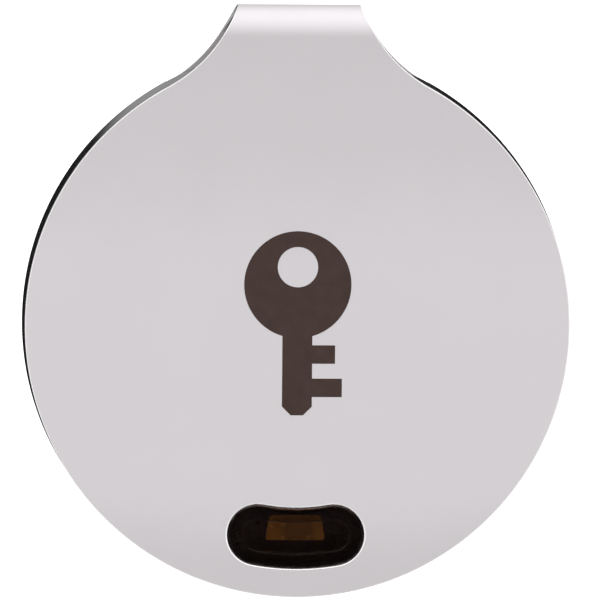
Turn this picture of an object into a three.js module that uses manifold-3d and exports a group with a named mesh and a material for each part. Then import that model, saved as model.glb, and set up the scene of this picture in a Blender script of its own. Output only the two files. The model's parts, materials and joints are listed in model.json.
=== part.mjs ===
// A slim round Bluetooth tracker tag for a key ring.
//
// A thin aluminium plate carries a neck that is folded back over the top to make the key-ring loop.
// Behind the plate sit a plastic carrier and a round rear housing with a twist-off battery door.
// Between them lie a ring-shaped circuit board, a coin cell in its middle and a piezo sounder.
//
// Millimetres. +Z is up and the front of the tag faces -Y. The origin is on the axis of the fold,
// halfway between the front and the back, where the key ring hangs.

import * as THREE from "three";
import { mergeVertices } from "three/addons/utils/BufferGeometryUtils.js";
import Module from "manifold-3d";

const wasm = await Module();
wasm.setup();

// ---------------------------------------------------------------------------------------------
// Driving dimensions
// ---------------------------------------------------------------------------------------------

const THICKNESS = 3.5; // front face to back face
const DISC_RADIUS = 15.5;
const DISC_Z = -16.43; // centre of the round body below the fold's axis
const SHEET = 0.4; // aluminium sheet
const FOLD_RADIUS = THICKNESS / 2; // outside of the fold

// The neck's side is an arc that leaves the disc tangentially. A tighter arc makes the waist.
const NECK_ARC_RADIUS = 8.25;
const NECK_ARC_X = 11.4;
const WAIST_JOIN_V = 17.4; // height above the disc centre where the two arcs meet

// Depths of the layers behind the front face
const CARRIER_FRONT = 0.5;
const CARRIER_BACK = 0.8;
const BOARD_FRONT = 1.65;
const BOARD_BACK = 2.15;
const CELL_FRONT = 1.4;
const CELL_BACK = 3.0;
const FLANGE_FRONT = 2.65;
const FLANGE_BACK = 3.0;
const DOOR_FRONT = 3.1;
const TAB_FRONT = THICKNESS - SHEET;
const GAP = 0.02; // clearance between pieces that are stacked or fitted together
const PAST = 1; // how far a cutting tool runs past the face it cuts

// Rear housing
const HOUSING_RADIUS = 15.58; // at the back: the wall flares a little from the plate's edge
const CAVITY_RADIUS = 14.3;
const CARRIER_RADIUS = 14.9;
const LEDGE_RADIUS = 13.6; // the board's rim rests on this ledge
const DOOR_SEAT_RADIUS = 12.9;
const FLANGE_RADIUS = 11.85;
const POST_RING = 12.9; // two-step posts on the carrier hold and space the board
const POST_RADIUS = 0.42;
const POST_TIP = 0.25; // how far a post stands out behind the board
const STANDOFF_RADIUS = 0.75;
const POST_ANGLES = [90, 210, 330];

// Folded tab behind the housing
const TAB_INNER_RADIUS = 13.35;
const TAB_CORNER = 0.6;
const TAB_RIM_CORNER = 0.35;
const TAB_CLEARANCE = 0.05;
const TAB_GLUE = 0.04; // thickness of the adhesive under it
const TAB_GLUE_ANGLE = 50;
const GLUE_MARGIN = 0.15; // adhesive keeps this far inside the edges it holds

// Battery door, a bayonet lid with three lugs
const DOOR_RADIUS = 12.75;
const SKIRT_INNER = 11.05;
const SKIRT_OUTER = 11.65;
const SKIRT_FRONT = 2.25;
const SEAL_INNER = 12.35;
const SEAL_OUTER = 12.7;
const PAD_RADIUS = 5;
const LUG_RADIUS = 12.2;
const LUG_ROOT = 0.2; // how far a lug reaches into the skirt that carries it
const LUG_BACK = 2.58;
const LUG_COUNT = 3;
const LUG_ANGLE = 14;
const NOTCH_ANGLE = 19;
const NOTCH_RADIUS = 12.28;
const DOOR_TWIST = 20; // degrees between the locked and the free position
const GRIP_RADIUS = 9.4; // two thumb grips on the lid's back
const GRIP_HALF_WIDTH = 1.1;
const GRIP_HALF_ANGLE = 24;
const GRIP_DEPTH = 0.16;

// Button, a slot-shaped cap concentric with the disc at its foot
const BUTTON_RADIUS = 12.13;
const BUTTON_HALF_WIDTH = 1.72;
const BUTTON_HALF_ANGLE = 10.26;
const BUTTON_CLEARANCE = 0.06;
const BUTTON_FLANGE = 0.3; // how far the flange stands out under the carrier
const BUTTON_FLANGE_FRONT = 0.83;
const BUTTON_BACK = 0.95;
const DISH_HALF_WIDTH = 0.84;
const DISH_DEPTH = 0.1;

// Circuit board and what sits on it
const BOARD_RADIUS = 14.1;
const BOARD_HOLE = 8.6;
const SWITCH_RING = 11.6;
const SWITCH_ANGLE = 270;
const SWITCH_TOP = 1.17; // just clear of the cap when it is pressed
const SWITCH_FILM = 0.05; // film over the dome
const SWITCH_FILM_SIZE = [1.4, 3.35]; // along the radius and round the ring
const SWITCH_BASE_SIZE = [2.4, 3.7];
const DOME_RADIUS = 0.65;
const DOME_SHOULDER = [0.7, 0.3]; // share of the radius and of the fall where the crown steepens
const DOME_FRONT = 1.24; // front of the dome's crown
const DOME_RIM = 1.33;
const DOME_BACK = 1.37;

// Coin cell
const CELL_RADIUS = 8.0;
const CELL_WALL = 0.22;
const CELL_CORE_RADIUS = 7.1;
const CELL_CHAMFER = 0.15;
const GASKET_WALL = 0.35;
const CELL_CAP_WALL = 0.2;
const ANODE = [1.64, 1.92];
const CATHODE = [1.96, 2.74];

// Piezo sounder, a ceramic on a brass plate that is glued to the carrier
const PIEZO_RADIUS = 7.5;
const PIEZO_PLATE = [0.88, 0.98];
const PIEZO_CERAMIC = [1.0, 1.08];
const PIEZO_CERAMIC_RADIUS = 5.5;
const PIEZO_GLUE = [0.82, 0.86];
const PIEZO_GLUE_RADII = [6.3, 7.4];
const INSULATOR = [1.19, 1.24];

// Spring strips from the board: the tip's radius and depth, the foot's end, the sheet and the width
const STRIP_FOOT_DEPTH = 1.53; // front of a strip's foot where it lies on the board
const STRIP_BENDS = [8.2, 8.9]; // radii between which a strip slopes to the board
const PLATE_STRIP = { tip: 6.9, depth: 1.0, foot: 9.7, sheet: 0.08, width: 0.9 };
const CERAMIC_STRIP = { tip: 4.4, depth: 1.1, foot: 9.7, sheet: 0.07, width: 0.9 };
const CELL_STRIP = { tip: -3, depth: 1.27, foot: 9.9, sheet: 0.1, width: 2.4 };
const LEAF_SHEET = 0.12; // angle piece against the cell's side
const LEAF_WIDTH = 2.2;
const LEAF_FOOT = 9.7;

// Segments of a full turn on large, medium and small rounds
const LARGE = 96;
const MEDIUM = 48;
const SMALL = 16;

const UP = 90;
const DOWN = 270;
const radians = THREE.MathUtils.degToRad;

// ---------------------------------------------------------------------------------------------
// Solids: closing, joining and cutting
// ---------------------------------------------------------------------------------------------

const GRID = 1e4; // coordinates are kept to a ten-thousandth of a millimetre

/** The y of a layer that lies `depth` behind the front face. */
const atDepth = (depth) => depth - THICKNESS / 2;

/** A position-only geometry with shared corners, no empty triangles and its faces pointing out. */
function closed(geometry) {
  const source = geometry.clone();
  source.deleteAttribute("normal");
  source.deleteAttribute("uv");
  const array = source.attributes.position.array;
  for (let i = 0; i < array.length; i += 1) {
    array[i] = Math.round(array[i] * GRID) / GRID;
  }
  const merged = mergeVertices(source, 0.5 / GRID);
  const point = merged.attributes.position;
  const [a, b, c] = [new THREE.Vector3(), new THREE.Vector3(), new THREE.Vector3()];
  const kept = [];
  let volume = 0;
  for (let i = 0; i < merged.index.count; i += 3) {
    const corners = [0, 1, 2].map((k) => merged.index.getX(i + k));
    if (new Set(corners).size < 3) continue;
    kept.push(corners);
    a.fromBufferAttribute(point, corners[0]);
    b.fromBufferAttribute(point, corners[1]);
    c.fromBufferAttribute(point, corners[2]);
    volume += a.dot(b.cross(c));
  }
  merged.setIndex(kept.flatMap(([p, q, r]) => (volume < 0 ? [p, r, q] : [p, q, r])));
  return merged;
}

function toSolid(geometry) {
  const mesh = closed(geometry);
  return new wasm.Manifold(
    new wasm.Mesh({
      numProp: 3,
      vertProperties: new Float32Array(mesh.attributes.position.array),
      triVerts: new Uint32Array(mesh.index.array),
    }),
  );
}

function toGeometry(solid) {
  const mesh = solid.getMesh();
  const geometry = new THREE.BufferGeometry();
  geometry.setAttribute("position", new THREE.BufferAttribute(mesh.vertProperties, 3));
  geometry.setIndex(new THREE.BufferAttribute(mesh.triVerts, 1));
  return geometry;
}

/** One geometry from several that touch or overlap. */
function joined(...geometries) {
  return toGeometry(geometries.map(toSolid).reduce((whole, piece) => whole.add(piece)));
}

/** The first geometry with the others taken out of it. */
function cut(geometry, ...tools) {
  return toGeometry(tools.map(toSolid).reduce((rest, tool) => rest.subtract(tool), toSolid(geometry)));
}

// ---------------------------------------------------------------------------------------------
// Shapes in the plane of the disc: x to the right, v up from the disc's centre
// ---------------------------------------------------------------------------------------------

const polar = (radius, angle) => new THREE.Vector2(radius * Math.cos(angle), radius * Math.sin(angle));

/** A flat layer of the tag, from one depth to another, with the disc's centre at its origin. */
function slab(shape, front, back) {
  const geometry = new THREE.ExtrudeGeometry(shape, {
    depth: back - front,
    bevelEnabled: false,
    curveSegments: MEDIUM,
  });
  return geometry.rotateX(Math.PI / 2).translate(0, atDepth(back), 0);
}

/** A turned piece from [radius, depth] pairs. The profile closes on itself or ends on the axis. */
function turned(profile, segments = LARGE) {
  const points = profile.map(([radius, depth]) => new THREE.Vector2(radius, atDepth(depth)));
  const onAxis = points[0].x === 0 && points.at(-1).x === 0;
  if (!onAxis) points.push(points[0].clone());
  return new THREE.LatheGeometry(points, segments);
}

/** A round bar across the layers at a place on the disc. */
function bar(radius, front, back, ring = 0, angle = 0, segments = SMALL) {
  const centre = polar(ring, radians(angle));
  return new THREE.CylinderGeometry(radius, radius, back - front, segments).translate(
    centre.x,
    atDepth((front + back) / 2),
    centre.y,
  );
}

/** A block on the board. `across` runs along the radius and `along` runs round the ring. */
function block(across, along, front, back) {
  return new THREE.BoxGeometry(across, back - front, along).translate(0, atDepth((front + back) / 2), 0);
}

const onFront = (across, along, height) =>
  block(across, along, BOARD_FRONT - GAP - height, BOARD_FRONT - GAP);
const onBack = (across, along, height) => block(across, along, BOARD_BACK + GAP, BOARD_BACK + GAP + height);

/** A slot with round ends that follows an arc about the disc's centre. */
function arcSlot(radius, halfWidth, middle, halfAngle) {
  const points = [];
  const longSteps = 12;
  const endSteps = 10;
  const first = radians(middle - halfAngle);
  const last = radians(middle + halfAngle);
  for (let i = 0; i <= longSteps; i += 1) {
    points.push(polar(radius + halfWidth, first + ((last - first) * i) / longSteps));
  }
  const lastEnd = polar(radius, last);
  for (let i = 1; i < endSteps; i += 1) {
    points.push(polar(halfWidth, last + (Math.PI * i) / endSteps).add(lastEnd));
  }
  for (let i = 0; i <= longSteps; i += 1) {
    points.push(polar(radius - halfWidth, last - ((last - first) * i) / longSteps));
  }
  const firstEnd = polar(radius, first);
  for (let i = 1; i < endSteps; i += 1) {
    points.push(polar(halfWidth, first + Math.PI + (Math.PI * i) / endSteps).add(firstEnd));
  }
  return points;
}

/** A ring sector between two radii about the disc's centre. */
function sector(inner, outer, middle, width) {
  const points = [];
  const steps = 8;
  const first = radians(middle - width / 2);
  const turn = radians(width) / steps;
  for (let i = 0; i <= steps; i += 1) points.push(polar(outer, first + turn * i));
  for (let i = steps; i >= 0; i -= 1) points.push(polar(inner, first + turn * i));
  return new THREE.Shape(points);
}

function circle(radius, x = 0, v = 0) {
  return new THREE.Shape().absarc(x, v, radius, 0, Math.PI * 2);
}

const buttonSlot = (halfWidth) => arcSlot(BUTTON_RADIUS, halfWidth, DOWN, BUTTON_HALF_ANGLE);

// ---------------------------------------------------------------------------------------------
// The plate's outline
// ---------------------------------------------------------------------------------------------

const FOLD_V = -DISC_Z; // the fold starts level with its axis
const APEX_V = FOLD_V + (FOLD_RADIUS * Math.PI) / 2; // top of the fold, along the unrolled sheet
const NECK_ARC_V = Math.sqrt((DISC_RADIUS + NECK_ARC_RADIUS) ** 2 - NECK_ARC_X ** 2);
const TANGENT_ANGLE = Math.atan2(NECK_ARC_V, NECK_ARC_X); // where the neck leaves the disc

/** Half the width of the unrolled sheet at a height above the disc's centre. */
function neckHalfWidth(v) {
  const level = v > APEX_V ? 2 * APEX_V - v : v;
  if (level <= WAIST_JOIN_V) {
    return NECK_ARC_X - Math.sqrt(NECK_ARC_RADIUS ** 2 - (NECK_ARC_V - level) ** 2);
  }
  const sine = (NECK_ARC_V - WAIST_JOIN_V) / NECK_ARC_RADIUS;
  const cosine = Math.sqrt(1 - sine ** 2);
  const waistRadius = (APEX_V - WAIST_JOIN_V) / sine;
  const waistX = NECK_ARC_X - (NECK_ARC_RADIUS - waistRadius) * cosine;
  return waistX - Math.sqrt(waistRadius ** 2 - (APEX_V - level) ** 2);
}

/** The right side of the neck, from a height down to where it meets the disc. */
function neckSide(top) {
  const steps = 14;
  const bottom = polar(DISC_RADIUS, TANGENT_ANGLE).y;
  const points = [];
  for (let i = 0; i < steps; i += 1) {
    const v = top + ((bottom - top) * i) / steps;
    points.push(new THREE.Vector2(neckHalfWidth(v), v));
  }
  points.push(polar(DISC_RADIUS, TANGENT_ANGLE));
  return points;
}

const mirrored = (points) => points.map((p) => new THREE.Vector2(-p.x, p.y)).reverse();

/** The disc with its neck cut off level at a height above the disc's centre. */
function plateOutline(top) {
  const right = neckSide(top);
  const sweep = Math.PI + 2 * TANGENT_ANGLE;
  const around = [];
  for (let i = 1; i < LARGE; i += 1) {
    around.push(polar(DISC_RADIUS, TANGENT_ANGLE - (sweep * i) / LARGE));
  }
  return new THREE.Shape([...right, ...around, ...mirrored(right)]);
}

/** A shape with the tab's lower edge and rounded lower corners, below the side points it is given. */
function tabShape(side, inner) {
  const turn = TAB_CORNER / inner;
  const shape = new THREE.Shape();
  const shoulder = polar(inner + TAB_CORNER, TANGENT_ANGLE);
  const corner = polar(inner, TANGENT_ANGLE);
  const start = polar(inner, TANGENT_ANGLE + turn);
  shape.moveTo(-side[0].x, side[0].y);
  for (const point of side) shape.lineTo(point.x, point.y);
  shape.lineTo(shoulder.x, shoulder.y);
  shape.quadraticCurveTo(corner.x, corner.y, start.x, start.y);
  shape.absarc(0, 0, inner, TANGENT_ANGLE + turn, Math.PI - TANGENT_ANGLE - turn, false);
  shape.quadraticCurveTo(-corner.x, corner.y, -shoulder.x, shoulder.y);
  for (const point of mirrored(side)) shape.lineTo(point.x, point.y);
  return shape;
}

/** The tab's right side, with its corner at the housing's rim rounded off. */
function tabSide() {
  const side = neckSide(FOLD_V);
  const corner = side.pop();
  const end = polar(DISC_RADIUS - TAB_RIM_CORNER, TANGENT_ANGLE);
  const curve = new THREE.QuadraticBezierCurve(side.at(-1), corner, end);
  return [...side, ...curve.getPoints(6).slice(1)];
}

/** What the tab's recess takes from the housing: the tab's place, open at the rim. */
function recessShape() {
  const outside = polar(HOUSING_RADIUS + PAST, TANGENT_ANGLE);
  const top = new THREE.Vector2(outside.x, HOUSING_RADIUS + PAST);
  return tabShape([top, outside], TAB_INNER_RADIUS - TAB_CLEARANCE);
}

// ---------------------------------------------------------------------------------------------
// Front shell: plate, fold and tab in one piece of sheet
// ---------------------------------------------------------------------------------------------

/** The half turn of sheet over the top, as wide at each angle as the unrolled sheet is there. */
function foldStrip() {
  const steps = 24;
  const profile = [];
  for (let i = 0; i <= steps; i += 1) {
    profile.push(polar(FOLD_RADIUS, (Math.PI * i) / steps));
  }
  for (let i = steps; i >= 0; i -= 1) {
    profile.push(polar(FOLD_RADIUS - SHEET, (Math.PI * i) / steps));
  }
  // Extruded from side -1 to +1, then spread to the neck's width
  const strip = new THREE.ExtrudeGeometry(new THREE.Shape(profile), { depth: 2, bevelEnabled: false });
  const point = strip.attributes.position;
  for (let i = 0; i < point.count; i += 1) {
    const y = -point.getX(i);
    const z = point.getY(i);
    const side = point.getZ(i) - 1;
    const turn = Math.atan2(z, -y);
    point.setXYZ(i, side * neckHalfWidth(FOLD_V + FOLD_RADIUS * turn), y, z + FOLD_V);
  }
  return strip;
}

function frontShell() {
  const plate = plateOutline(FOLD_V);
  plate.holes.push(new THREE.Path(buttonSlot(BUTTON_HALF_WIDTH)));
  const tab = tabShape(tabSide(), TAB_INNER_RADIUS);
  return joined(slab(plate, 0, SHEET), foldStrip(), slab(tab, TAB_FRONT, THICKNESS));
}

function shellAdhesive() {
  const film = circle(DISC_RADIUS - 2 * GLUE_MARGIN);
  film.holes.push(new THREE.Path(buttonSlot(BUTTON_HALF_WIDTH + GLUE_MARGIN)));
  return slab(film, SHEET + GAP, CARRIER_FRONT - GAP);
}

function tabAdhesive() {
  const film = sector(TAB_INNER_RADIUS + GLUE_MARGIN, DISC_RADIUS - 2 * GLUE_MARGIN, UP, TAB_GLUE_ANGLE);
  return slab(film, TAB_FRONT - GAP - TAB_GLUE, TAB_FRONT - GAP);
}

// ---------------------------------------------------------------------------------------------
// Carrier, rear housing and battery door
// ---------------------------------------------------------------------------------------------

function frontCarrier() {
  const floor = circle(CARRIER_RADIUS);
  floor.holes.push(new THREE.Path(buttonSlot(BUTTON_HALF_WIDTH + GAP)));
  const posts = POST_ANGLES.flatMap((angle) => [
    bar(STANDOFF_RADIUS, CARRIER_FRONT + GAP, BOARD_FRONT - GAP, POST_RING, angle),
    bar(POST_RADIUS, CARRIER_FRONT + GAP, BOARD_BACK + POST_TIP, POST_RING, angle),
  ]);
  return joined(slab(floor, CARRIER_FRONT, CARRIER_BACK), ...posts);
}

function rearHousing() {
  const shell = turned([
    [DISC_RADIUS, CARRIER_FRONT],
    [HOUSING_RADIUS, THICKNESS],
    [DOOR_SEAT_RADIUS, THICKNESS],
    [DOOR_SEAT_RADIUS, FLANGE_BACK],
    [FLANGE_RADIUS, FLANGE_BACK],
    [FLANGE_RADIUS, FLANGE_FRONT],
    [LEDGE_RADIUS, FLANGE_FRONT],
    [LEDGE_RADIUS, BOARD_BACK + GAP],
    [CAVITY_RADIUS, BOARD_BACK + GAP],
    [CAVITY_RADIUS, CARRIER_BACK + GAP],
    [CARRIER_RADIUS + GAP, CARRIER_BACK + GAP],
    [CARRIER_RADIUS + GAP, CARRIER_FRONT],
  ]);
  const recess = slab(recessShape(), TAB_FRONT - 2 * GAP - TAB_GLUE, THICKNESS + PAST);
  const notches = lugAngles(DOOR_TWIST).map((angle) => {
    const notch = sector(FLANGE_RADIUS - PAST, NOTCH_RADIUS, angle, NOTCH_ANGLE);
    return slab(notch, FLANGE_FRONT - PAST, FLANGE_BACK + GAP);
  });
  return cut(shell, recess, ...notches);
}

/** Angles of the lugs, turned on from the locked position. A turn to open runs clockwise in front. */
function lugAngles(turn) {
  return Array.from({ length: LUG_COUNT }, (_, i) => UP + (360 / LUG_COUNT) * i - turn);
}

function batteryDoor() {
  const lid = turned([
    [0, DOOR_FRONT],
    [SKIRT_INNER, DOOR_FRONT],
    [SKIRT_INNER, SKIRT_FRONT],
    [SKIRT_OUTER, SKIRT_FRONT],
    [SKIRT_OUTER, DOOR_FRONT],
    [DOOR_RADIUS, DOOR_FRONT],
    [DOOR_RADIUS, THICKNESS],
    [0, THICKNESS],
  ]);
  const lugs = lugAngles(0).map((angle) =>
    slab(sector(SKIRT_OUTER - LUG_ROOT, LUG_RADIUS, angle, LUG_ANGLE), SKIRT_FRONT, LUG_BACK),
  );
  const grips = [0, 180].map((middle) => {
    const grip = new THREE.Shape(arcSlot(GRIP_RADIUS, GRIP_HALF_WIDTH, middle, GRIP_HALF_ANGLE));
    return slab(grip, THICKNESS - GRIP_DEPTH, THICKNESS + PAST);
  });
  return cut(joined(lid, ...lugs), ...grips);
}

function doorSeal() {
  return turned([
    [SEAL_INNER, FLANGE_BACK + GAP],
    [SEAL_OUTER, FLANGE_BACK + GAP],
    [SEAL_OUTER, DOOR_FRONT - GAP],
    [SEAL_INNER, DOOR_FRONT - GAP],
  ]);
}

function doorPad() {
  return bar(PAD_RADIUS, CELL_BACK + GAP, DOOR_FRONT - GAP, 0, 0, MEDIUM);
}

// ---------------------------------------------------------------------------------------------
// Button and switch
// ---------------------------------------------------------------------------------------------

function buttonCap() {
  const fit = BUTTON_HALF_WIDTH - BUTTON_CLEARANCE;
  const body = slab(new THREE.Shape(buttonSlot(fit)), 0, BUTTON_FLANGE_FRONT);
  const flange = slab(new THREE.Shape(buttonSlot(fit + BUTTON_FLANGE)), BUTTON_FLANGE_FRONT, BUTTON_BACK);
  const dish = slab(new THREE.Shape(buttonSlot(DISH_HALF_WIDTH)), -PAST, DISH_DEPTH);
  return cut(joined(body, flange), dish);
}

function switchDome() {
  const [out, down] = DOME_SHOULDER;
  return turned(
    [
      [0, DOME_FRONT],
      [out * DOME_RADIUS, DOME_FRONT + down * (DOME_RIM - DOME_FRONT)],
      [DOME_RADIUS, DOME_RIM],
      [DOME_RADIUS, DOME_BACK],
      [0, DOME_BACK],
    ],
    SMALL,
  );
}

const switchFilm = () => block(...SWITCH_FILM_SIZE, SWITCH_TOP, SWITCH_TOP + SWITCH_FILM);
const switchBase = () => onFront(...SWITCH_BASE_SIZE, BOARD_FRONT - DOME_BACK - 2 * GAP);

// ---------------------------------------------------------------------------------------------
// Circuit board, sounder and contacts
// ---------------------------------------------------------------------------------------------

/** A flat disc in the middle of the tag between a [front, back] pair of depths. */
const disc = (radius, [front, back]) => bar(radius, front, back, 0, 0, MEDIUM);

function piezoGlue() {
  const [inner, outer] = PIEZO_GLUE_RADII;
  const [front, back] = PIEZO_GLUE;
  return turned(
    [
      [inner, front],
      [outer, front],
      [outer, back],
      [inner, back],
    ],
    MEDIUM,
  );
}

function circuitBoard() {
  const board = turned([
    [BOARD_HOLE, BOARD_FRONT],
    [BOARD_RADIUS, BOARD_FRONT],
    [BOARD_RADIUS, BOARD_BACK],
    [BOARD_HOLE, BOARD_BACK],
  ]);
  const holes = POST_ANGLES.map((angle) =>
    bar(POST_RADIUS + 4 * GAP, BOARD_FRONT - PAST, BOARD_BACK + PAST, POST_RING, angle),
  );
  return cut(board, ...holes);
}

/** A spring strip of sheet metal: a level tip, a slope down to the board and a foot on it. */
function bentStrip({ tip, depth: tipDepth, foot, sheet, width }) {
  const line = [
    [tip, tipDepth],
    [STRIP_BENDS[0], tipDepth],
    [STRIP_BENDS[1], STRIP_FOOT_DEPTH],
    [foot, STRIP_FOOT_DEPTH],
  ];
  const near = line.map(([radius, depth]) => new THREE.Vector2(radius, atDepth(depth)));
  const far = line.map(([radius, depth]) => new THREE.Vector2(radius, atDepth(depth + sheet)));
  const strip = new THREE.ExtrudeGeometry(new THREE.Shape([...near, ...far.reverse()]), {
    depth: width,
    bevelEnabled: false,
  });
  return strip.translate(0, 0, -width / 2);
}

/** An angle piece: a foot on the board and a leaf that stands against the cell's side. */
function positiveContact() {
  const foot = BOARD_BACK + GAP;
  const leaf = CELL_RADIUS + GAP;
  const tip = CELL_BACK - CELL_CHAMFER;
  const profile = [
    [leaf, foot],
    [LEAF_FOOT, foot],
    [LEAF_FOOT, foot + LEAF_SHEET],
    [leaf + LEAF_SHEET, foot + LEAF_SHEET],
    [leaf + LEAF_SHEET, tip],
    [leaf, tip],
  ].map(([radius, depth]) => new THREE.Vector2(radius, atDepth(depth)));
  const shape = new THREE.Shape(profile);
  const angle = new THREE.ExtrudeGeometry(shape, { depth: LEAF_WIDTH, bevelEnabled: false });
  return angle.translate(0, 0, -LEAF_WIDTH / 2);
}

// ---------------------------------------------------------------------------------------------
// Coin cell
// ---------------------------------------------------------------------------------------------

/** The cell's can, open in front, with its rim rolled in over the gasket. */
function batteryCan() {
  const inner = CELL_RADIUS - CELL_WALL;
  const floor = CELL_BACK - CELL_WALL;
  const roll = CELL_WALL / 2;
  return turned(
    [
      [0, floor],
      [inner, floor],
      [inner, CELL_FRONT + roll],
      [inner + roll, CELL_FRONT + roll / 2],
      [CELL_RADIUS, CELL_FRONT + 2 * roll],
      [CELL_RADIUS, CELL_BACK - CELL_CHAMFER],
      [CELL_RADIUS - CELL_CHAMFER, CELL_BACK],
      [0, CELL_BACK],
    ],
    MEDIUM,
  );
}

function batteryGasket() {
  const outer = CELL_RADIUS - CELL_WALL - GAP;
  const front = CELL_FRONT + CELL_WALL / 4;
  const back = CELL_BACK - CELL_WALL - GAP;
  return turned(
    [
      [outer - GASKET_WALL, front],
      [outer, front],
      [outer, back],
      [outer - GASKET_WALL, back],
    ],
    MEDIUM,
  );
}

/** The cell's front cap: a flat dish that stands inside the gasket. */
function batteryCap() {
  const outer = CELL_RADIUS - CELL_WALL - GASKET_WALL - 3 * GAP;
  const inner = outer - CELL_CAP_WALL;
  const back = CELL_BACK - CELL_WALL - 2 * GAP;
  const floor = CELL_FRONT + CELL_CAP_WALL;
  return turned(
    [
      [0, CELL_FRONT],
      [inner, CELL_FRONT],
      [outer, floor],
      [outer, back],
      [inner, back],
      [inner, floor + GAP],
      [inner - GAP, floor],
      [0, floor],
    ],
    MEDIUM,
  );
}

// ---------------------------------------------------------------------------------------------
// Assembly
// ---------------------------------------------------------------------------------------------

const group = new THREE.Group();
const tag = new THREE.Group();
tag.position.z = DISC_Z;
group.add(tag);

const finish = (color, roughness, metalness) => ({ color, roughness, metalness });
const ALUMINIUM = finish(0xd0cccf, 0.38, 1);
const BLACK_GLOSS = finish(0x0b0b0d, 0.12, 0);
const BLACK_MATTE = finish(0x17171a, 0.5, 0);
const SMOKE = finish(0x0b0506, 0.1, 0);
const AMBER = finish(0xb5712a, 0.3, 0);
const ADHESIVE = finish(0x2a2a2c, 0.8, 0);
const BOARD_BLACK = finish(0x10130f, 0.35, 0);
const NICKEL = finish(0xc2bfb6, 0.28, 1);
const GOLD = finish(0xd6b35a, 0.3, 1);
const BRASS = finish(0xc9a24a, 0.3, 1);
const CERAMIC = finish(0xe8e4dc, 0.5, 0);
const SILICONE = finish(0x6f7276, 0.7, 0);
const CHIP = finish(0x1b1b1d, 0.55, 0);
const TAN = finish(0xa98a64, 0.5, 0);
const CORE_GREY = finish(0x9a9c9e, 0.45, 1);
const CORE_DARK = finish(0x202224, 0.9, 0);

/** Add a piece to the tag, at its own place or at a ring and angle on the disc. */
function add(name, geometry, look, ring = 0, angle = 0) {
  const mesh = new THREE.Mesh(closed(geometry), new THREE.MeshStandardMaterial(look));
  const place = polar(ring, radians(angle));
  mesh.name = name;
  mesh.position.set(place.x, 0, place.y);
  mesh.rotation.y = -radians(angle);
  tag.add(mesh);
}

// Covers
add("front_shell", frontShell(), ALUMINIUM);
add("shell_adhesive", shellAdhesive(), ADHESIVE);
add("tab_adhesive", tabAdhesive(), ADHESIVE);
add("front_carrier", frontCarrier(), BLACK_MATTE);
add("rear_housing", rearHousing(), BLACK_GLOSS);
add("battery_door", batteryDoor(), BLACK_GLOSS);
add("door_seal", doorSeal(), SILICONE);
add("door_pad", doorPad(), ADHESIVE);
add("button_cap", buttonCap(), SMOKE);

// Coin cell
add("battery_can", batteryCan(), NICKEL);
add("battery_gasket", batteryGasket(), SILICONE);
add("battery_cap", batteryCap(), NICKEL);
add("battery_anode", disc(CELL_CORE_RADIUS, ANODE), CORE_GREY);
add("battery_cathode", disc(CELL_CORE_RADIUS, CATHODE), CORE_DARK);

// Sounder
add("piezo_adhesive", piezoGlue(), ADHESIVE);
add("piezo_plate", disc(PIEZO_RADIUS, PIEZO_PLATE), BRASS);
add("piezo_ceramic", disc(PIEZO_CERAMIC_RADIUS, PIEZO_CERAMIC), CERAMIC);
add("insulator_film", disc(PIEZO_RADIUS, INSULATOR), AMBER);

// Contacts: two to the sounder, one to each pole of the cell
add("piezo_contact_plate", bentStrip(PLATE_STRIP), GOLD, 0, 128);
add("piezo_contact_ceramic", bentStrip(CERAMIC_STRIP), GOLD, 0, 112);
add("contact_negative", bentStrip(CELL_STRIP), NICKEL, 0, 196);
add("contact_positive", positiveContact(), NICKEL, 0, 330);

// Board, and the switch under the button
add("circuit_board", circuitBoard(), BOARD_BLACK);
add("switch_base", switchBase(), CHIP, SWITCH_RING, SWITCH_ANGLE);
add("switch_dome", switchDome(), NICKEL, SWITCH_RING, SWITCH_ANGLE);
add("switch_film", switchFilm(), AMBER, SWITCH_RING, SWITCH_ANGLE);

// Radio and power parts on the board's front: size across, along and high, look, ring and angle
const CHIPS = [
  ["radio_chip", [4, 4, 0.75], CHIP, 11.3, 45],
  ["crystal_fast", [1.6, 2.0, 0.45], NICKEL, 11.2, 16],
  ["crystal_slow", [1.2, 2.0, 0.5], NICKEL, 10.6, 76],
  ["chip_antenna", [1.5, 5.0, 0.7], CERAMIC, 12.6, 172],
  ["boost_inductor", [2.2, 2.4, 0.75], CHIP, 11.4, 143],
];
for (const [name, size, look, ring, angle] of CHIPS) add(name, onFront(...size), look, ring, angle);

const CAPACITOR_SIZE = [0.5, 1.0, 0.5];
const CAPACITOR_PLACES = [
  [10.2, 2],
  [11.6, 2],
  [10.2, 348],
  [12.0, 68],
  [10.4, 218],
  [12.0, 218],
];
CAPACITOR_PLACES.forEach(([ring, angle], i) => {
  add(`capacitor_${i + 1}`, onFront(...CAPACITOR_SIZE), TAN, ring, angle);
});

const RESISTOR_SIZE = [0.5, 1.0, 0.35];
const RESISTOR_PLACES = [
  [10.0, 20],
  [10.0, 100],
  [10.0, 180],
  [10.0, 260],
];
RESISTOR_PLACES.forEach(([ring, angle], i) => {
  add(`resistor_${i + 1}`, onBack(...RESISTOR_SIZE), CHIP, ring, angle);
});

export default group;
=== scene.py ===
"""The looks of a slim round Bluetooth tracker tag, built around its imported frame.

Shapes are worked out in millimetres as (x, depth, v): x to the right, depth behind the front face
and v above the centre of the round body. settle() turns them into metres in the row frame.
"""

import json
import math

import bmesh
import bpy
from mathutils import Matrix, Vector


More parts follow.
